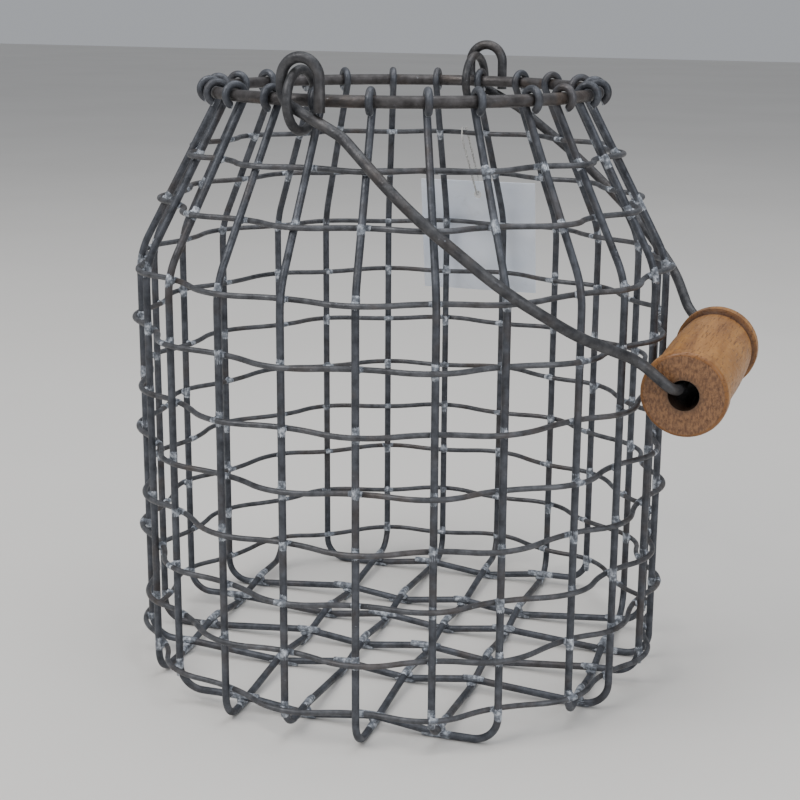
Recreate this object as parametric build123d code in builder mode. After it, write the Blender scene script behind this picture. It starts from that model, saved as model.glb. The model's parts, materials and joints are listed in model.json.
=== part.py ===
from build123d import *
from math import asin, atan2, cos, radians, sin, sqrt, tan
import os

# Woven wire egg basket, in millimetres.
# +Z is up.  The origin is on the basket's axis, at the level of the surface it stands on.
# The carrying handle swings about an axis parallel to Y, and lies down towards +X.

# ---- driving dimensions ----
gap = 0.3                   # clear space between wires that pass each other

body_radius = 100.0         # circle of the upright wires' centres
rim_radius = 72.0           # rim wire's centre circle
rim_height = 221.0          # rim wire's centre
shoulder_slope = 28.0       # degrees from vertical, from the body up to the rim
shoulder_bend = 30.0        # bend radius where an upright leans in
foot_bend = 9.0             # bend radius where an upright turns under the floor
curl_end = 60.0             # the curl's tip outside the rim wire, degrees below level
curl_top = 75.0             # a point near its crest, degrees above level

upright_wire = 2.7          # wire diameters
hoop_wire = 2.0
rim_wire = 4.3
bail_wire = 3.8
ear_wire = 3.3

wires_each_way = 6          # long wires and cross wires, each a U through the floor
upright_step = 15.0         # degrees between the uprights
long_shift = 2.0            # the long wires' set sits this far off the axis
weave_turn = 8.0            # degrees the weave is turned from the handle's axis
floor_wave = 1.7            # how far a floor wire rises or dips from the floor's middle level
floor_wave_bend = 25.0
hoop_heights = [13, 33, 53, 73, 93, 114, 136, 158, 181, 199]

ear_ring_radius = 10.1      # centre line of the loose ring that ties an ear to the rim
ear_ring_side = -2.6        # the ring hangs beside the nearest upright's curl
ear_ring_out = 2.2          # its centre is this far outside the rim wire's

pivot_height = 228.3        # the axis the handle swings about
eye_out = 79.6              # distance of each eye from the XZ plane
eye_bend = 7.1              # centre line radius of the eye's arch
eye_end = 10.8              # the wire's end, closing the eye on the leg, below the axis
eye_depth = 7.3             # corner at the eye's foot, below the axis
eye_foot_bend = 6.5
eye_exit = 26.0             # degrees below level as the wire leaves the eye
eye_run = 25.0              # from the eye's corner to the bend into the handle's plane
eye_leg_bend = 18.0
bail_drop = 39.0            # degrees below level of the handle's plane
leg_corners = [(34, 86.5), (73, 78.5), (98, 62), (115, 38.5), (130.6, 36.4)]
leg_bends = [80, 60, 50, 14, 5]
grip_along = 132.9          # the grip's middle, along the handle's plane
grip_slant = 3.5            # the -Y leg is this much longer at the grip, and the other as much shorter

grip_length = 66.0
grip_waist = 13.6           # radii of the turned grip
grip_belly = 14.4
grip_bead = 15.2
grip_bore = 5.4
grip_bead_width = 6.0
grip_groove = 0.9
grip_edge = 1.6

tag_width = 52.0
tag_height = 50.0
tag_card = 0.6
tag_lean = 8.0              # degrees, top edge inward
tag_rest_height = 158.0     # where the card rests against the shoulder
tag_above_rest = 18.0
tag_hole = 1.8
tag_hole_drop = 6.0         # hole below the card's top edge
tag_filament = 0.8
tag_slack = 1.2             # how far the filament stands off the card's two faces
tag_bay = 18                # which bay between two uprights the tag hangs in
tag_hoop = 199.0            # the hoop it hangs from

# ---- worked out from those ----
upright_r = upright_wire / 2
hoop_r = hoop_wire / 2
rim_r = rim_wire / 2
bail_r = bail_wire / 2
slope_sin = sin(radians(shoulder_slope))
slope_cos = cos(radians(shoulder_slope))
curl_radius = rim_r + upright_r + gap
weave_offset = upright_r + hoop_r + gap
floor_middle = floor_wave + upright_r
line_at_rim = rim_radius - curl_radius / slope_cos
shoulder_corner = rim_height - (body_radius - line_at_rim) * slope_cos / slope_sin
bend_reach = shoulder_bend * tan(radians(shoulder_slope / 2))
bend_start = shoulder_corner - bend_reach
bend_end = shoulder_corner + bend_reach * slope_cos

# The outer wires of each set stand farther apart than the others, so that the 24 uprights
# come out evenly round the basket: 7.5, 22.5 and 52.5 degrees either side of the set's middle.
half_step = upright_step / 2
line_angles = [half_step, half_step + upright_step, half_step + 3 * upright_step]
half_offsets = [body_radius * sin(radians(angle)) for angle in line_angles]
cross_offsets = [-offset for offset in reversed(half_offsets)] + half_offsets
long_offsets = [offset + long_shift for offset in cross_offsets]


def weave_point(along_long, along_cross, height):
    """A point given in the weave's own directions, turned to the handle's."""
    turn = radians(weave_turn)
    x = along_cross * cos(turn) - along_long * sin(turn)
    y = along_cross * sin(turn) + along_long * cos(turn)
    return Vector(x, y, height)


def wall_radius(height):
    """Radius of the uprights' centre line at a height."""
    if height <= bend_start:
        return body_radius
    if height < bend_end:
        rise = height - bend_start
        return body_radius - shoulder_bend + sqrt(shoulder_bend**2 - rise**2)
    return line_at_rim + (rim_height - height) * slope_sin / slope_cos


def wall_lean(height):
    """Angle in radians of the uprights from vertical at a height."""
    rise = min(max(height - bend_start, 0), bend_end - bend_start)
    return asin(rise / shoulder_bend)


def hung_point(bearing, radius, height):
    return Vector(radius * cos(bearing), radius * sin(bearing), height)


def round_wire(path, diameter, name):
    """One wire: a round section swept along its path, written as a node."""
    with BuildPart() as wire:
        with BuildSketch(Plane(origin=path @ 0, z_dir=path % 0)):
            Circle(diameter / 2)
        sweep(path=path)
    wire.part.label = name
    export_step(wire.part, f"parts/{name}.step")
    return wire.part


# ---- the U-shaped wires: rim, shoulder, side, floor, side, shoulder, rim ----
def curl_points(bearing):
    """The curl over the rim wire: its tip, a point near its crest, and where it meets the upright."""
    angles = [radians(-curl_end), radians(curl_top), radians(180 + shoulder_slope)]
    return [
        hung_point(bearing, rim_radius + curl_radius * cos(a), rim_height + curl_radius * sin(a))
        for a in angles
    ]


def floor_height(long_index, cross_index, long_set):
    """Over and under in turn: a long wire is up where the cross wire is down."""
    long_up = (long_index + cross_index) % 2 == 0
    up = long_up if long_set else not long_up
    return floor_middle + (floor_wave if up else -floor_wave)


def u_wire_path(index, long_set):
    own = long_offsets[index] if long_set else cross_offsets[index]
    others = cross_offsets if long_set else long_offsets
    half_chord = sqrt(body_radius**2 - own**2)

    def point(across, height):
        return weave_point(across, own, height) if long_set else weave_point(own, across, height)

    def height_at(k):
        return floor_height(index, k, True) if long_set else floor_height(k, index, False)

    crossings = [k for k in range(wires_each_way) if abs(others[k]) < half_chord - foot_bend]
    first, last = crossings[0], crossings[-1]
    feet = [point(-half_chord, height_at(first)), point(half_chord, height_at(last))]
    bearings = [atan2(foot.Y, foot.X) for foot in feet]
    corners = [hung_point(bearing, body_radius, shoulder_corner) for bearing in bearings]
    start_curl, end_curl = [curl_points(bearing) for bearing in bearings]
    floor = [point(others[k], height_at(k)) for k in crossings]
    points = [start_curl[2], corners[0], feet[0], *floor, feet[1], corners[1], end_curl[2]]
    waves = [floor_wave_bend] * len(floor)
    radii = [shoulder_bend, foot_bend, *waves, foot_bend, shoulder_bend]
    with BuildLine() as path:
        ThreePointArc(*start_curl)
        FilletPolyline(*points, radius=radii)
        ThreePointArc(*reversed(end_curl))
    return path.wire()


# ---- the hoops, woven in and out of the uprights ----
def upright_bearings():
    bearings = []
    for long_set, offsets in ((True, long_offsets), (False, cross_offsets)):
        for own in offsets:
            half_chord = sqrt(body_radius**2 - own**2)
            for across in (-half_chord, half_chord):
                foot = weave_point(across, own, 0) if long_set else weave_point(own, across, 0)
                bearings.append(atan2(foot.Y, foot.X))
    return sorted(bearings)


def hoop_path(height, first_outside):
    """A closed chain of tangent arcs, square to the radius at each upright."""
    radius = wall_radius(height)
    offset = weave_offset / cos(wall_lean(height))
    points = []
    for k, bearing in enumerate(upright_bearings()):
        outside = (k % 2 == 0) == first_outside
        points.append((hung_point(bearing, radius + (offset if outside else -offset), height), bearing))
    with BuildLine() as path:
        for (here, bearing), (there, next_bearing) in zip(points, points[1:] + points[:1]):
            leave = Vector(-sin(bearing), cos(bearing), 0)
            arrive = Vector(-sin(next_bearing), cos(next_bearing), 0)
            span = there - here
            a = 2 * (leave.dot(arrive) - 1)
            b = -2 * span.dot(leave + arrive)
            reach = (-b - sqrt(b * b - 4 * a * span.dot(span))) / (2 * a)
            knee_in = here + leave * reach
            knee_out = there - arrive * reach
            middle = (knee_in + knee_out) / 2
            TangentArc(here, middle, tangent=leave)
            TangentArc(middle, there, tangent=knee_out - knee_in)
    return path.wire()


# ---- the carrying handle ----
def eye_point(across, up):
    """A point in an eye's plane, from the swing axis."""
    return Vector(across, -eye_out, pivot_height + up)


def handle_point(along, side):
    """A point in the handle's lying plane: how far along it, and how far out to the -Y side."""
    drop = radians(bail_drop)
    start = leg_start()
    slant = grip_slant * (along / grip_along) ** 2
    reach = along + (slant if side > 0 else -slant if side < 0 else 0)
    return Vector(start.X + reach * cos(drop), -side, start.Z - reach * sin(drop))


def leg_start():
    """Where the wire that leaves the eye bends down into the handle's plane."""
    exit_angle = radians(eye_exit)
    return eye_point(-eye_bend + eye_run * cos(exit_angle), -eye_depth - eye_run * sin(exit_angle))


def other_side(point):
    return Vector(point.X, -point.Y, point.Z)


def grip_axis():
    """The grip's middle, and the direction of its axis, towards +Y."""
    half = grip_length / 2
    ends = [handle_point(grip_along, half), handle_point(grip_along, -half)]
    return handle_point(grip_along, 0), (ends[1] - ends[0]).normalized()


def handle_path():
    """Eye, leg, through the grip, leg, eye."""
    arch = [eye_point(eye_bend, 0), eye_point(0, eye_bend), eye_point(-eye_bend, 0)]
    tip = eye_point(eye_bend, -eye_end)
    near_legs = [handle_point(along, side) for along, side in leg_corners]
    far_legs = [handle_point(along, -side) for along, side in reversed(leg_corners)]
    eye_foot = [arch[2], eye_point(-eye_bend, -eye_depth), leg_start()]
    half = [*eye_foot, *near_legs]
    radii = [eye_foot_bend, eye_leg_bend, *leg_bends]
    mirrored = [*far_legs, *[other_side(point) for point in reversed(eye_foot)]]
    with BuildLine() as path:
        Line(tip, arch[0])
        ThreePointArc(*arch)
        FilletPolyline(*half, *mirrored, radius=radii + radii[::-1])
        ThreePointArc(*[other_side(point) for point in reversed(arch)])
        Line(other_side(arch[0]), other_side(tip))
    return path.wire()


def make_grip():
    """A turned wooden roller with a bead at each end, loose on the handle wire."""
    centre, along = grip_axis()
    half = grip_length / 2
    shoulder = half - grip_bead_width
    square_to_axis = along.cross(Vector(0, 0, 1))
    with BuildPart() as grip:
        with BuildSketch(Plane(origin=centre, x_dir=along, z_dir=square_to_axis)):
            with BuildLine():
                Line((-half, grip_bore), (half, grip_bore))
                Line((half, grip_bore), (half, grip_bead - grip_edge))
                RadiusArc((half, grip_bead - grip_edge), (half - grip_edge, grip_bead), -grip_edge)
                Line((half - grip_edge, grip_bead), (shoulder + grip_groove, grip_bead))
                Line((shoulder + grip_groove, grip_bead), (shoulder, grip_waist - grip_groove / 2))
                Line((shoulder, grip_waist - grip_groove / 2), (shoulder - grip_groove, grip_waist))
                ThreePointArc(
                    (shoulder - grip_groove, grip_waist),
                    (0, grip_belly),
                    (-shoulder + grip_groove, grip_waist),
                )
                Line((-shoulder + grip_groove, grip_waist), (-shoulder, grip_waist - grip_groove / 2))
                Line((-shoulder, grip_waist - grip_groove / 2), (-shoulder - grip_groove, grip_bead))
                Line((-shoulder - grip_groove, grip_bead), (-half + grip_edge, grip_bead))
                RadiusArc((-half + grip_edge, grip_bead), (-half, grip_bead - grip_edge), -grip_edge)
                Line((-half, grip_bead - grip_edge), (-half, grip_bore))
            make_face()
        revolve(axis=Axis(centre, along))
    return grip


def ring_path(centre, direction, radius):
    with BuildLine(Plane(origin=centre, z_dir=direction)) as path:
        CenterArc((0, 0), radius, 0, 360)
    return path.wire()


# ---- the tag ----
def bay_bearing(bay):
    bearings = upright_bearings()
    return (bearings[bay] + bearings[bay + 1]) / 2


def tag_point(radius, height):
    return hung_point(bay_bearing(tag_bay), radius, height)


def card_radius(height):
    """Radius of the card's middle layer at a height."""
    rest = body_radius + weave_offset + hoop_r + gap + tag_card / 2
    return rest - (height - tag_rest_height) * tan(radians(tag_lean))


def make_tag_card():
    top = tag_rest_height + tag_above_rest
    middle = top - tag_height / 2 * cos(radians(tag_lean))
    outward = tag_point(cos(radians(tag_lean)), sin(radians(tag_lean)))
    sideways = tag_point(1, 0).cross(Vector(0, 0, 1)) * -1
    card_plane = Plane(origin=tag_point(card_radius(middle), middle), x_dir=sideways, z_dir=outward)
    with BuildPart() as card:
        with BuildSketch(card_plane):
            Rectangle(tag_width, tag_height)
            with Locations((0, tag_height / 2 - tag_hole_drop)):
                Circle(tag_hole, mode=Mode.SUBTRACT)
        extrude(amount=tag_card / 2, both=True)
    return card


def tag_loop_path():
    """A closed filament round the hoop, over the card's top edge and through its hole."""
    top = tag_rest_height + tag_above_rest
    hole = top - tag_hole_drop * cos(radians(tag_lean))
    around = hoop_r + tag_filament / 2 + 2 * gap
    hoop_radius = wall_radius(tag_hoop) * cos(radians(upright_step / 2))
    points = [
        tag_point(card_radius(hole) - tag_slack, hole),
        tag_point(card_radius(hole) + tag_slack, hole),
        tag_point(card_radius(top) + tag_slack, top + tag_slack),
        tag_point(hoop_radius + 2 * around, tag_hoop + around),
        tag_point(hoop_radius - around, tag_hoop + around),
        tag_point(hoop_radius - around, tag_hoop - around),
    ]
    with BuildLine() as path:
        FilletPolyline(*points, radius=tag_filament, close=True)
    return path.wire()


# ---- build and write every piece ----
os.makedirs("parts", exist_ok=True)

round_wire(ring_path((0, 0, rim_height), (0, 0, 1), rim_radius), rim_wire, "rim_wire")
for number in range(wires_each_way):
    round_wire(u_wire_path(number, True), upright_wire, f"long_wire_{number + 1}")
    round_wire(u_wire_path(number, False), upright_wire, f"cross_wire_{number + 1}")
for number, hoop_height in enumerate(hoop_heights):
    round_wire(hoop_path(hoop_height, number % 2 == 0), hoop_wire, f"hoop_wire_{number + 1:02d}")

for name, side in (("near_ear_ring", -1), ("far_ear_ring", 1)):
    ring_centre = (ear_ring_side, side * (rim_radius + ear_ring_out), rim_height)
    round_wire(ring_path(ring_centre, (1, 0, 0), ear_ring_radius), ear_wire, name)

round_wire(handle_path(), bail_wire, "bail_wire")
grip = make_grip()
grip.part.label = "wooden_grip"
export_step(grip.part, "parts/wooden_grip.step")

card = make_tag_card()
card.part.label = "tag_card"
export_step(card.part, "parts/tag_card.step")
round_wire(tag_loop_path(), tag_filament, "tag_loop")
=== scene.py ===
import json
import math
import random

import bmesh
import bpy
from mathutils import Matrix, Vector


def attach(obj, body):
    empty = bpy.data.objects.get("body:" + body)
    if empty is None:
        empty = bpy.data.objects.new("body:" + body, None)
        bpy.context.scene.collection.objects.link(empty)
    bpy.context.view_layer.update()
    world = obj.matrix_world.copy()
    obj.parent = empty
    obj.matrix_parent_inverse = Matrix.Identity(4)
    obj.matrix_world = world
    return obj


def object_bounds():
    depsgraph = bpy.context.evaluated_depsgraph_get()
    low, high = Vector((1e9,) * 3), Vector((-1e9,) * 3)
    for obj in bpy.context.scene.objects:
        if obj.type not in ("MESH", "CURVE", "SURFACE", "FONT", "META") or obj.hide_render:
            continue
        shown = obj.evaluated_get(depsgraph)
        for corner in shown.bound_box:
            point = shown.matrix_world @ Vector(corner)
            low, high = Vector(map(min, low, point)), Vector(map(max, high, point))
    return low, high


# A woven wire egg basket.  Metres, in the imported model's own frame: +Z up, the handle swings
# about an axis parallel to Y and lies down towards +X.

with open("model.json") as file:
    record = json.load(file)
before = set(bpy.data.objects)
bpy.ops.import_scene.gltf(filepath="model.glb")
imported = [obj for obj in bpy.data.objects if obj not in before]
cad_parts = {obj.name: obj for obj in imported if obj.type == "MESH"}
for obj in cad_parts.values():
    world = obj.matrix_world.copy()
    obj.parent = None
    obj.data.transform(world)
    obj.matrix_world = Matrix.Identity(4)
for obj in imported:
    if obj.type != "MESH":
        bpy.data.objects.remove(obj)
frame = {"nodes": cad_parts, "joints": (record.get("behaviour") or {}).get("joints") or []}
cad_low, cad_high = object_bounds()
nodes = frame["nodes"]
joints = {joint["name"]: joint for joint in frame["joints"]}
random.seed(4)

# ---- the weave's own dimensions ----
BODY_RADIUS = 0.100
RIM_RADIUS = 0.072
RIM_HEIGHT = 0.221
SHOULDER_SLOPE = math.radians(28)
SHOULDER_BEND = 0.030
UPRIGHT_R = 0.00135
HOOP_R = 0.001
RIM_R = 0.00215
GAP = 0.0003
LONG_SHIFT = 0.002
WEAVE_TURN = math.radians(8)
FLOOR_WAVE = 0.0017
HOOP_HEIGHTS = [0.013, 0.033, 0.053, 0.073, 0.093, 0.114, 0.136, 0.158, 0.181, 0.199]
HALF_ANGLES = [7.5, 22.5, 52.5]
UPRIGHT_STEP = math.radians(15)
FOOT_BEND = 0.010
CURL_TIP = math.radians(-60)
GRIP_BEAD_WIDTH = 0.006
GRIP_BORE = 0.0054

# ---- the zinc and the snipped ends ----
UPRIGHT_FILM = 0.00016
HOOP_FILM = 0.00014
FLOOR_FILM = 0.00018
SECOND_SLEEVE = 0.35        # share of crossings where the wire on top has a sleeve too
SLEEVE_SINK = 0.00006       # how far a sleeve's rims lie inside the wire
SLEEVE_RINGS = [0.0, 0.18, 0.42, 0.62, 0.84, 1.0]
END_SIDES = 14
END_RINGS = ((1.0, -0.00004), (0.9, 0.00012), (0.55, 0.00026))
END_SLANT = 0.00030

CURL_R = RIM_R + UPRIGHT_R + GAP
WEAVE_OFFSET = UPRIGHT_R + HOOP_R + GAP
LINE_AT_RIM = RIM_RADIUS - CURL_R / math.cos(SHOULDER_SLOPE)
SHOULDER_CORNER = RIM_HEIGHT - (BODY_RADIUS - LINE_AT_RIM) / math.tan(SHOULDER_SLOPE)
BEND_REACH = SHOULDER_BEND * math.tan(SHOULDER_SLOPE / 2)
BEND_START = SHOULDER_CORNER - BEND_REACH
BEND_END = SHOULDER_CORNER + BEND_REACH * math.cos(SHOULDER_SLOPE)
FLOOR_MIDDLE = FLOOR_WAVE + UPRIGHT_R

half_offsets = [BODY_RADIUS * math.sin(math.radians(a)) for a in HALF_ANGLES]
CROSS = [-offset for offset in reversed(half_offsets)] + half_offsets
LONG = [offset + LONG_SHIFT for offset in CROSS]


def weave_point(along_long, along_cross, height):
    x = along_cross * math.cos(WEAVE_TURN) - along_long * math.sin(WEAVE_TURN)
    y = along_cross * math.sin(WEAVE_TURN) + along_long * math.cos(WEAVE_TURN)
    return Vector((x, y, height))


def upright_bearings():
    found = []
    for long_set, offsets in ((True, LONG), (False, CROSS)):
        for own in offsets:
            half = math.sqrt(BODY_RADIUS**2 - own**2)
            for across in (-half, half):
                foot = weave_point(across, own, 0) if long_set else weave_point(own, across, 0)
                found.append(math.atan2(foot.y, foot.x))
    return sorted(found)


def wall(height):
    """The uprights' centre line at a height: its radius, and its lean from vertical."""
    rise = min(max(height - BEND_START, 0), BEND_END - BEND_START)
    lean = math.asin(rise / SHOULDER_BEND)
    if height < BEND_END:
        return BODY_RADIUS - SHOULDER_BEND * (1 - math.cos(lean)), lean
    return LINE_AT_RIM + (RIM_HEIGHT - height) * math.tan(SHOULDER_SLOPE), lean


def at(bearing, radius, height):
    return Vector((radius * math.cos(bearing), radius * math.sin(bearing), height))


# ---- materials ----
class Nodes:
    """A material's node tree, with short ways to add the nodes used here."""

    def __init__(self, name, roughness, metallic=0.0):
        self.material = bpy.data.materials.new(name)
        self.material.use_nodes = True
        self.tree = self.material.node_tree
        self.shader = self.tree.nodes["Principled BSDF"]
        self.shader.inputs["Roughness"].default_value = roughness
        self.shader.inputs["Metallic"].default_value = metallic
        self.place = self.add("ShaderNodeTexCoord").outputs["Object"]

    def add(self, kind, **settings):
        node = self.tree.nodes.new(kind)
        for key, value in settings.items():
            setattr(node, key, value)
        return node

    def feed(self, socket, value):
        if isinstance(value, bpy.types.NodeSocket):
            self.tree.links.new(value, socket)
        elif socket.type == "RGBA" and len(value) == 3:
            socket.default_value = (*value, 1)
        else:
            socket.default_value = value

    def scaled(self, x, y, z):
        node = self.add("ShaderNodeMapping")
        self.feed(node.inputs["Vector"], self.place)
        node.inputs["Scale"].default_value = (x, y, z)
        return node.outputs["Vector"]

    def noise(self, scale, detail=4.0, roughness=0.55, vector=None, distortion=0.0):
        node = self.add("ShaderNodeTexNoise")
        self.feed(node.inputs["Vector"], vector or self.place)
        node.inputs["Scale"].default_value = scale
        node.inputs["Detail"].default_value = detail
        node.inputs["Roughness"].default_value = roughness
        node.inputs["Distortion"].default_value = distortion
        return node.outputs["Fac"]

    def ramp(self, value, *stops):
        node = self.add("ShaderNodeValToRGB")
        self.feed(node.inputs["Fac"], value)
        band = node.color_ramp
        while len(band.elements) < len(stops):
            band.elements.new(0.5)
        for element, (place, colour) in zip(band.elements, stops):
            element.position = place
            element.color = (*colour, 1) if isinstance(colour, tuple) else (colour,) * 3 + (1,)
        return node.outputs["Color"]

    def mix(self, share, first, second, blend="MIX"):
        node = self.add("ShaderNodeMix", data_type="RGBA", blend_type=blend)
        self.feed(node.inputs[0], share)
        self.feed(node.inputs[6], first)
        self.feed(node.inputs[7], second)
        return node.outputs[2]

    def math(self, operation, first, second=0.0, third=0.0):
        node = self.add("ShaderNodeMath", operation=operation)
        for socket, value in zip(node.inputs, (first, second, third)):
            self.feed(socket, value)
        return node.outputs[0]

    def axis(self, letter):
        node = self.add("ShaderNodeSeparateXYZ")
        self.feed(node.inputs[0], self.place)
        return node.outputs[letter]

    def finish(self, colour, roughness=None, height=None, depth=0.0002, strength=1.0):
        self.feed(self.shader.inputs["Base Color"], colour)
        if roughness is not None:
            self.feed(self.shader.inputs["Roughness"], roughness)
        if height is not None:
            bump = self.add("ShaderNodeBump")
            bump.inputs["Strength"].default_value = strength
            bump.inputs["Distance"].default_value = depth
            self.feed(bump.inputs["Height"], height)
            self.feed(self.shader.inputs["Normal"], bump.outputs["Normal"])
        return self.material


def wire_material(name, dark, pale, brown, brown_share, metallic):
    """Dark dipped steel wire: mottled oxide, brown bloom, pale zinc specks, drawn-wire pitting."""
    n = Nodes(name, 0.5, metallic)
    mottle = n.ramp(n.noise(230, 6, 0.62), (0.30, dark), (0.72, pale))
    bloom = n.ramp(n.noise(46, 3, 0.6, distortion=0.6), (0.52, 0.0), (0.70, 1.0))
    colour = n.mix(n.math("MULTIPLY", bloom, brown_share), mottle, brown)
    specks = n.ramp(n.noise(820, 3, 0.7), (0.64, 0.0), (0.74, 1.0))
    streaks = n.ramp(n.noise(95, 5, 0.7, distortion=1.2), (0.56, 0.0), (0.68, 1.0))
    spread = n.math("MULTIPLY", specks, n.math("ADD", n.math("MULTIPLY", streaks, 0.6), 0.16))
    colour = n.mix(spread, colour, (0.36, 0.39, 0.44))
    rough = n.ramp(n.noise(310, 4, 0.6), (0.32, 0.34), (0.70, 0.62))
    height = n.math("ADD", n.noise(900, 4, 0.6), n.math("MULTIPLY", n.noise(170, 3, 0.5), 2.0))
    return n.finish(colour, rough, height, 0.00022, 0.75)


def zinc_material():
    """Pale blue-white zinc where the wires were joined, grey in its hollows."""
    n = Nodes("zinc_joint", 0.45, 0.35)
    cloud = n.noise(520, 5, 0.65)
    hollow, middle, crest = (0.070, 0.077, 0.090), (0.21, 0.23, 0.265), (0.62, 0.66, 0.72)
    colour = n.ramp(cloud, (0.34, hollow), (0.50, middle), (0.64, crest))
    rough = n.ramp(n.noise(700, 3, 0.6), (0.3, 0.32), (0.7, 0.62))
    return n.finish(colour, rough, n.noise(640, 5, 0.7), 0.0005, 0.9)


def cut_material():
    """A snipped wire end: bright sheared steel with a shear line."""
    n = Nodes("snipped_end", 0.34, 0.7)
    grain = n.noise(1400, 3, 0.6, n.scaled(1, 1, 0.15))
    colour = n.ramp(grain, (0.3, (0.25, 0.27, 0.30)), (0.7, (0.62, 0.65, 0.70)))
    return n.finish(colour, n.ramp(grain, (0.3, 0.28), (0.7, 0.5)), grain, 0.0002, 0.8)


def wood_material(half_length, bead_width, bore):
    """Turned hardwood along its own axis: growth bands, open pores, burnt lines at the beads, painted shade
    on the rounded bead rims and in and around the bore.
    """
    n = Nodes("turned_wood", 0.42)
    axis = Vector(joints["grip_spin"]["axis"]).normalized()
    turned = axis.to_track_quat("Y", "Z").inverted().to_matrix()
    shift = n.add("ShaderNodeMapping", vector_type="POINT")
    n.feed(shift.inputs["Vector"], n.place)
    shift.inputs["Location"].default_value = -(turned @ Vector(joints["grip_spin"]["pos_m"]))
    shift.inputs["Rotation"].default_value = turned.to_euler()
    n.place = shift.outputs["Vector"]
    along = n.axis("Y")
    x = n.axis("X")
    z = n.axis("Z")
    from_axis = n.math("SQRT", n.math("ADD", n.math("MULTIPLY", x, x), n.math("MULTIPLY", z, z)))
    from_middle = n.math("ABSOLUTE", along)

    bands = n.noise(150, 4, 0.55, n.scaled(1.0, 0.10, 0.55), 0.9)
    colour = n.ramp(
        bands,
        (0.26, (0.17, 0.066, 0.014)),
        (0.46, (0.33, 0.145, 0.034)),
        (0.62, (0.41, 0.190, 0.048)),
        (0.80, (0.25, 0.100, 0.024)),
    )
    fleck = n.ramp(n.noise(1500, 3, 0.6, n.scaled(1, 0.09, 1)), (0.57, 0.0), (0.66, 1.0))
    colour = n.mix(n.math("MULTIPLY", fleck, 0.62), colour, (0.12, 0.048, 0.015))
    speck = n.ramp(n.noise(2100, 2, 0.5), (0.60, 0.0), (0.70, 1.0))
    colour = n.mix(n.math("MULTIPLY", speck, 0.28), colour, (0.14, 0.06, 0.02))
    light = n.ramp(n.noise(900, 3, 0.6, n.scaled(1, 0.2, 1)), (0.60, 0.0), (0.75, 1.0))
    colour = n.mix(n.math("MULTIPLY", light, 0.35), colour, (0.50, 0.27, 0.09))
    smoky = n.ramp(n.noise(60, 3, 0.6), (0.45, 0.0), (0.75, 1.0))
    colour = n.mix(n.math("MULTIPLY", smoky, 0.35), colour, (0.19, 0.085, 0.03))

    # the burnt line in the groove beside each bead, and painted shade on the rounded outer rims of the
    # beads
    groove = half_length - bead_width - 0.0003
    wander = n.math("MULTIPLY", n.math("SUBTRACT", n.noise(180, 3), 0.5), 0.0010)
    off_line = n.math("ABSOLUTE", n.math("ADD", n.math("SUBTRACT", from_middle, groove), wander))
    burnt = n.ramp(n.math("DIVIDE", off_line, 0.0022), (0.25, 1.0), (0.85, 0.0))
    colour = n.mix(n.math("MULTIPLY", burnt, 0.85), colour, (0.045, 0.012, 0.003))
    # painted shade: the last 2.2 mm towards each end of the grip is darkened to stand in for shade on the
    # bead's rounded rim
    past_edge = n.math("SUBTRACT", from_middle, half_length - 0.0022)
    bead_rim_shade = n.ramp(n.math("DIVIDE", past_edge, 0.002), (0.0, 0.0), (0.9, 1.0))
    colour = n.mix(n.math("MULTIPLY", bead_rim_shade, 0.55), colour, (0.12, 0.040, 0.010))

    # end grain on the two flat faces
    face = n.math("GREATER_THAN", from_middle, half_length - 0.00005)
    dots = n.ramp(n.noise(1150, 4, 0.65, n.scaled(1.0, 1.0, 0.45)), (0.42, 0.0), (0.60, 1.0))
    end_colour = n.mix(dots, (0.25, 0.125, 0.055), (0.115, 0.050, 0.022))
    colour = n.mix(face, colour, end_colour)
    # painted shade: the end faces darken towards the mouth of the bore, and the bore itself is painted near
    # black for the shade falling into the hole
    bore_lip_shade = n.ramp(n.math("DIVIDE", n.math("SUBTRACT", from_axis, bore), 0.0022), (0.0, 1.0), (1.0, 0.0))
    colour = n.mix(n.math("MULTIPLY", bore_lip_shade, 0.7), colour, (0.075, 0.036, 0.016))
    inside = n.math("LESS_THAN", from_axis, bore + 0.0001)
    colour = n.mix(inside, colour, (0.030, 0.016, 0.009))
    rough = n.ramp(n.noise(500, 4, 0.6), (0.3, 0.34), (0.75, 0.58))
    ridges = n.noise(420, 3, 0.6, n.scaled(1, 0.15, 1))
    height = n.math("SUBTRACT", ridges, n.math("MULTIPLY", fleck, 0.8))
    return n.finish(colour, rough, height, 0.00022, 0.8)


def card_material():
    """Blank coated card with a faint print tint, handling marks and paper tooth."""
    n = Nodes("coated_card", 0.5)
    tint = n.ramp(n.noise(38, 3, 0.5), (0.3, (0.78, 0.85, 0.97)), (0.7, (0.88, 0.92, 0.99)))
    smudge = n.ramp(n.noise(120, 5, 0.65, distortion=0.8), (0.58, 0.0), (0.72, 1.0))
    colour = n.mix(n.math("MULTIPLY", smudge, 0.22), tint, (0.50, 0.52, 0.55))
    fibre = n.noise(2600, 3, 0.6)
    hairs = n.ramp(fibre, (0.6, 0.0), (0.75, 1.0))
    colour = n.mix(n.math("MULTIPLY", hairs, 0.18), colour, (0.55, 0.60, 0.68))
    rough = n.ramp(n.noise(300, 3), (0.3, 0.42), (0.7, 0.62))
    return n.finish(colour, rough, fibre, 0.00006, 0.6)


def thread_material():
    """A clear nylon thread: pale, with a slight draw line."""
    n = Nodes("nylon_thread", 0.3)
    lines = n.noise(1800, 3, 0.6, n.scaled(1, 1, 0.1))
    colour = n.ramp(lines, (0.3, (0.55, 0.55, 0.52)), (0.7, (0.82, 0.82, 0.80)))
    n.shader.inputs["Transmission Weight"].default_value = 0.35
    return n.finish(colour, n.ramp(lines, (0.3, 0.2), (0.7, 0.4)), lines, 0.00005, 0.5)


def floor_material():
    n = Nodes("studio_floor", 0.85)
    colour = n.ramp(n.noise(3, 3), (0.3, (0.68, 0.66, 0.63)), (0.7, (0.72, 0.70, 0.67)))
    return n.finish(colour)


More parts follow.
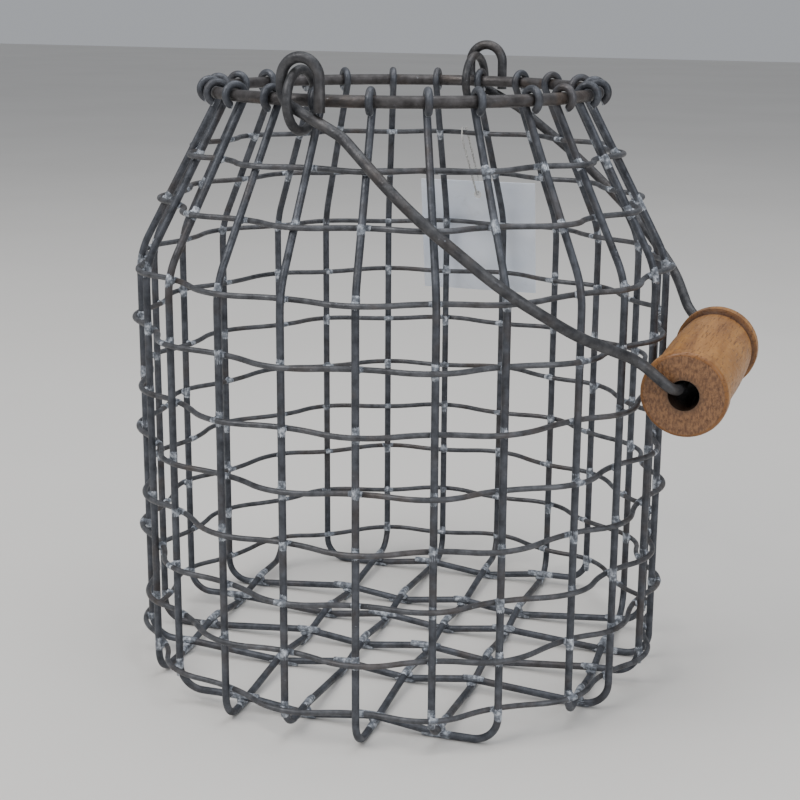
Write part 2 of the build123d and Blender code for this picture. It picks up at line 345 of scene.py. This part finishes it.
# each wire: its dark and pale oxide, its brown bloom, how much bloom, how metallic
WIRES = {
    "upright_wire": ((0.030, 0.033, 0.040), (0.110, 0.118, 0.138), (0.085, 0.064, 0.050), 0.45, 0.5),
    "hoop_wire": ((0.036, 0.037, 0.042), (0.130, 0.134, 0.146), (0.095, 0.070, 0.054), 0.5, 0.5),
    "rim_wire": ((0.030, 0.027, 0.027), (0.100, 0.094, 0.096), (0.110, 0.078, 0.058), 0.65, 0.5),
    "bail_wire": ((0.026, 0.027, 0.031), (0.105, 0.105, 0.110), (0.080, 0.062, 0.050), 0.45, 0.6),
}
steel = {name: wire_material(name, *looks) for name, looks in WIRES.items()}
zinc = zinc_material()
cut_steel = cut_material()

grip_lean = Vector(joints["grip_spin"]["axis"]).normalized()
grip_points = [v.co.dot(grip_lean) for v in nodes["wooden_grip"].data.vertices]
wood = wood_material((max(grip_points) - min(grip_points)) / 2, GRIP_BEAD_WIDTH, GRIP_BORE)
card = card_material()
thread = thread_material()


def dress(node, material):
    node.data.materials.clear()
    node.data.materials.append(material)


for name, node in nodes.items():
    if name == "rim_wire":
        dress(node, steel["rim_wire"])
    elif name.startswith("hoop_wire"):
        dress(node, steel["hoop_wire"])
    elif name.startswith(("long_wire", "cross_wire")):
        dress(node, steel["upright_wire"])
    elif name in ("bail_wire", "near_ear_ring", "far_ear_ring"):
        dress(node, steel["bail_wire"])
    elif name == "wooden_grip":
        dress(node, wood)
    elif name == "tag_card":
        dress(node, card)
    elif name == "tag_loop":
        dress(node, thread)


# ---- zinc at the crossings ----
def new_piece(name, mesh, material, body):
    mesh.materials.append(material)
    for face in mesh.polygons:
        face.use_smooth = True
    piece = bpy.data.objects.new(name, mesh)
    bpy.context.scene.collection.objects.link(piece)
    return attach(piece, body)


def add_sleeve(bm, centre, along, bend, wire_r, before, after, film, sides=12):
    """A lumpy film round a wire at centre.  bend is the wire's curvature vector there."""
    along = along.normalized()
    across = along.orthogonal().normalized()
    other = along.cross(across)
    rings = []
    lumps = [random.uniform(0.5, 1.2) for _ in SLEEVE_RINGS]
    heavy = random.uniform(0, math.tau)
    for share, lump in zip(SLEEVE_RINGS, lumps):
        s = -before + (before + after) * share
        thick = film * lump * math.sin(math.pi * share) ** 0.5
        sink = SLEEVE_SINK if share in (0.0, 1.0) else 0.0
        middle = centre + along * s + bend * (s * s / 2)
        ring = []
        for k in range(sides):
            a = math.tau * k / sides
            swell = thick * (0.75 + 0.45 * math.cos(a - heavy)) - sink
            spoke = across * math.cos(a) + other * math.sin(a)
            ring.append(bm.verts.new(middle + spoke * (wire_r + swell)))
        rings.append(ring)
    for first, second in zip(rings, rings[1:]):
        for k in range(sides):
            bm.faces.new((first[k], first[(k + 1) % sides], second[(k + 1) % sides], second[k]))
    bm.faces.new(rings[0][::-1])
    bm.faces.new(rings[-1])


def add_blob(bm, centre, size, directions):
    """A small lump of zinc that fills the corner between two crossing wires."""
    made = bmesh.ops.create_icosphere(bm, subdivisions=2, radius=1.0)
    turned = Matrix((directions[0], directions[1], directions[2])).transposed()
    for v in made["verts"]:
        rough = 1 + random.uniform(-0.12, 0.12)
        scaled = Vector((v.co.x * size[0], v.co.y * size[1], v.co.z * size[2])) * rough
        v.co = centre + turned @ scaled


def hoop_crossings():
    """Each place a hoop passes an upright: which side, and the two wires' centres and directions."""
    for n, height in enumerate(HOOP_HEIGHTS):
        radius, lean = wall(height)
        offset = WEAVE_OFFSET / math.cos(lean)
        for k, bearing in enumerate(upright_bearings()):
            outside = (k % 2 == 0) == (n % 2 == 0)
            out = at(bearing, 1, 0)
            round_way = Vector((-math.sin(bearing), math.cos(bearing), 0))
            up = Vector((0, 0, math.cos(lean))) - out * math.sin(lean)
            step = radius * UPRIGHT_STEP
            sway = 2 * offset
            turn = 4 * sway / (step * step + sway * sway)
            curve = -(turn + 0.5 / radius) if outside else turn - 0.5 / radius
            hoop_at = at(bearing, radius + (offset if outside else -offset), height)
            yield outside, at(bearing, radius, height), up, hoop_at, round_way, out, out * curve


def floor_crossings():
    for j, own_long in enumerate(LONG):
        for i, own_cross in enumerate(CROSS):
            spot = weave_point(own_cross, own_long, FLOOR_MIDDLE)
            if spot.xy.length < BODY_RADIUS - FOOT_BEND:
                lift = FLOOR_WAVE if (i + j) % 2 == 0 else -FLOOR_WAVE
                along_long = weave_point(1, 0, 0)
                along_cross = weave_point(0, 1, 0)
                yield spot, lift, along_long, along_cross


bm = bmesh.new()
for outside, upright_at, up, hoop_at, round_way, out, curve in hoop_crossings():
    before, after = random.uniform(0.0016, 0.0042), random.uniform(0.0016, 0.0042)
    if outside or random.random() < SECOND_SLEEVE:
        add_sleeve(bm, upright_at, up, Vector(), UPRIGHT_R, before, after, UPRIGHT_FILM)
    before, after = random.uniform(0.0012, 0.0034), random.uniform(0.0012, 0.0034)
    if not outside or random.random() < SECOND_SLEEVE:
        add_sleeve(bm, hoop_at, round_way, curve, HOOP_R, before, after, HOOP_FILM)
    between = upright_at.lerp(hoop_at, 0.55) + up * random.uniform(-0.0003, 0.0003)
    size = (random.uniform(0.0012, 0.0017), random.uniform(0.0011, 0.0016), 0.0009)
    add_blob(bm, between, size, (round_way, up, out))
for spot, lift, along_long, along_cross in floor_crossings():
    vertical = Vector((0, 0, 1))
    for middle, along in ((spot + vertical * lift, along_long), (spot - vertical * lift, along_cross)):
        before, after = random.uniform(0.003, 0.007), random.uniform(0.003, 0.007)
        add_sleeve(bm, middle, along, Vector(), UPRIGHT_R, before, after, FLOOR_FILM)
    size = (random.uniform(0.0016, 0.0024), random.uniform(0.0016, 0.0024), 0.0012)
    add_blob(bm, spot, size, (along_long, along_cross, vertical))
mesh = bpy.data.meshes.new("zinc_joints")
bm.to_mesh(mesh)
bm.free()
new_piece("zinc_joints", mesh, zinc, "basket")

# ---- snipped ends of the uprights, outside the rim wire ----
bm = bmesh.new()
for bearing in upright_bearings():
    out = at(bearing, 1, 0)
    tip_radius = RIM_RADIUS + CURL_R * math.cos(CURL_TIP)
    tip = at(bearing, tip_radius, RIM_HEIGHT + CURL_R * math.sin(CURL_TIP))
    leave = out * math.sin(CURL_TIP) - Vector((0, 0, math.cos(CURL_TIP)))
    sideways = leave.cross(out).normalized()
    outward = sideways.cross(leave).normalized()
    ridge = random.uniform(-0.3, 0.3)
    rings = []
    for share, proud in END_RINGS:
        ring = []
        for k in range(END_SIDES):
            t = math.tau * k / END_SIDES
            slant = END_SLANT * (1 + math.cos(t + ridge)) * share
            spread = (sideways * math.sin(t) + outward * math.cos(t)) * UPRIGHT_R * share
            ring.append(bm.verts.new(tip + spread + leave * (proud + slant * (proud > 0))))
        rings.append(ring)
    for first, second in zip(rings, rings[1:]):
        for k in range(END_SIDES):
            after = (k + 1) % END_SIDES
            bm.faces.new((first[k], first[after], second[after], second[k]))
    bm.faces.new(rings[-1])
bmesh.ops.recalc_face_normals(bm, faces=bm.faces)
mesh = bpy.data.meshes.new("snipped_ends")
bm.to_mesh(mesh)
bm.free()
new_piece("snipped_ends", mesh, cut_steel, "basket")

# ---- floor, light, camera ----
def area_light(name, place, target, size, energy, colour=(1, 1, 1)):
    data = bpy.data.lights.new(name, "AREA")
    data.shape = "RECTANGLE"
    data.size = size[0]
    data.size_y = size[1]
    data.energy = energy
    data.color = colour
    lamp = bpy.data.objects.new(name, data)
    lamp.location = place
    lamp.rotation_euler = (Vector(target) - Vector(place)).to_track_quat("-Z", "Y").to_euler()
    bpy.context.scene.collection.objects.link(lamp)


floor_mesh = bpy.data.meshes.new("studio_floor")
FLOOR_REACH = 6.0
corners = [(x * FLOOR_REACH, y * FLOOR_REACH, 0) for x, y in ((-1, -1), (1, -1), (1, 1), (-1, 1))]
floor_mesh.from_pydata(corners, [], [(0, 1, 2, 3)])
floor_mesh.materials.append(floor_material())
floor = bpy.data.objects.new("studio_floor", floor_mesh)
floor.location.z = cad_low.z - 0.0002
bpy.context.scene.collection.objects.link(floor)

world = bpy.data.worlds.new("studio")
world.use_nodes = True
world.node_tree.nodes["Background"].inputs["Color"].default_value = (0.80, 0.83, 0.88, 1)
world.node_tree.nodes["Background"].inputs["Strength"].default_value = 0.5
bpy.context.scene.world = world
area_light("key", (-0.5, -0.9, 1.3), (0, 0, 0.12), (0.9, 0.9), 16, (1.0, 0.98, 0.95))
area_light("top", (0.2, 0.2, 1.5), (0, 0, 0.1), (1.2, 1.2), 12, (0.96, 0.98, 1.0))
area_light("fill", (1.1, -0.6, 0.7), (0, 0, 0.12), (0.8, 0.8), 6, (0.95, 0.97, 1.0))

AZIMUTH = math.radians(25.5)
DISTANCE = 0.600
EYE_HEIGHT = 0.2555
PITCH = math.radians(14.44)
ROLL = math.radians(0.375)
turned = AZIMUTH + math.radians(0.08)
ahead = Vector((-math.sin(turned) * math.cos(PITCH), math.cos(turned) * math.cos(PITCH), -math.sin(PITCH)))
level = Vector((math.cos(turned), math.sin(turned), 0))
above = level.cross(ahead)
right = level * math.cos(ROLL) + above * math.sin(ROLL)
up = above * math.cos(ROLL) - level * math.sin(ROLL)
camera_data = bpy.data.cameras.new("camera")
camera_data.sensor_width = 36.0
camera_data.lens = 70.9
camera_data.clip_start = 0.01
camera = bpy.data.objects.new("camera", camera_data)
camera.matrix_world = Matrix.Translation(
    (DISTANCE * math.sin(AZIMUTH), -DISTANCE * math.cos(AZIMUTH), EYE_HEIGHT)
) @ Matrix((right, up, -ahead)).transposed().to_4x4()
bpy.context.scene.collection.objects.link(camera)
bpy.context.scene.camera = camera
